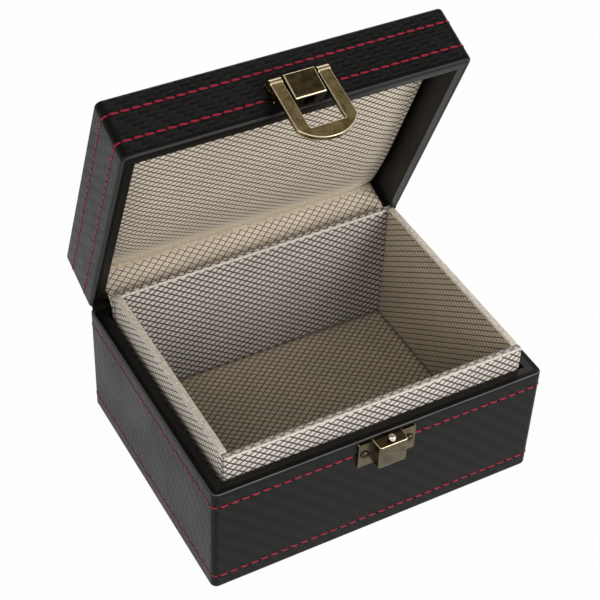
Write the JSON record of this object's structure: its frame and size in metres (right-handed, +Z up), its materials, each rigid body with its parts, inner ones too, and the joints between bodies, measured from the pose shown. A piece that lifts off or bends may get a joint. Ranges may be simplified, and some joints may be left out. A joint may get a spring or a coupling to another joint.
{
  "type": "faraday key box",
  "caption": "Small hinged leather-covered box with a signal-blocking fabric tray and lid pad, closed by a hasp loop over a ball stud.",
  "frame": {"origin": "middle of the underside, on the surface the box stands on", "axes": "+Z up, +X to the right and +Y to the hinge side, seen from the latch side"},
  "size_m": [0.1306, 0.127, 0.1514],
  "materials": {
    "embossed_leather": "black synthetic leather embossed with a fine diagonal weave, satin",
    "smooth_leather": "smooth black synthetic leather, satin",
    "faraday_fabric": "pale metallised ripstop cloth with a dark diamond grid",
    "thread": "red sewing thread",
    "felt": "black felt",
    "foam": "soft grey foam",
    "card": "grey card",
    "fibreboard": "medium density fibreboard",
    "bronze": "antique bronze plating, dark in the recesses and bright on the worn edges",
    "steel": "polished"
  },
  "bodies": {
    "base": {"base_back_board": "fibreboard", "base_cover": "embossed_leather", "base_floor_board": "fibreboard", "base_front_board": "fibreboard", "base_left_board": "fibreboard", "base_lining": "smooth_leather", "base_right_board": "fibreboard", "base_stitching_lower": "thread", "base_stitching_upper": "thread", "base_underside_felt": "felt", "catch_plate": "bronze", "catch_screws": "bronze", "catch_stud": "steel", "hinge_base_screws": "bronze", "hinge_left_base_leaf": "bronze", "hinge_left_pin": "bronze", "hinge_right_base_leaf": "bronze", "hinge_right_pin": "bronze", "hinge_strip": "faraday_fabric", "liner_back_card": "card", "liner_back_fabric": "faraday_fabric", "liner_floor_card": "card", "liner_floor_fabric": "faraday_fabric", "liner_front_card": "card", "liner_front_fabric": "faraday_fabric", "liner_left_card": "card", "liner_left_fabric": "faraday_fabric", "liner_right_card": "card", "liner_right_fabric": "faraday_fabric"},
    "lid": {"hasp_body": "bronze", "hasp_pin": "bronze", "hasp_screws": "bronze", "hinge_left_lid_leaf": "bronze", "hinge_lid_screws": "bronze", "hinge_right_lid_leaf": "bronze", "lid_back_board": "fibreboard", "lid_cover": "embossed_leather", "lid_front_board": "fibreboard", "lid_left_board": "fibreboard", "lid_lining": "smooth_leather", "lid_pad_card": "card", "lid_pad_fabric": "faraday_fabric", "lid_pad_foam": "foam", "lid_right_board": "fibreboard", "lid_stitching_lower": "thread", "lid_stitching_upper": "thread", "lid_top_board": "fibreboard"},
    "hasp_loop": {"hasp_loop": "bronze"}
  },
  "joints": [
    {"name": "lid_hinge", "type": "hinge", "parent": "base", "child": "lid", "pos_m": [0, 0.05, 0.0484], "axis": [-1, 0, 0], "range_deg": [-68.3, 26.5], "deforming": ["hinge_strip"]},
    {"name": "loop_swing", "type": "hinge", "parent": "lid", "child": "hasp_loop", "pos_m": [0.00065, 0.01958, 0.14919], "axis": [-1, 0, 0], "range_deg": [-8.6, 170]}
  ]
}
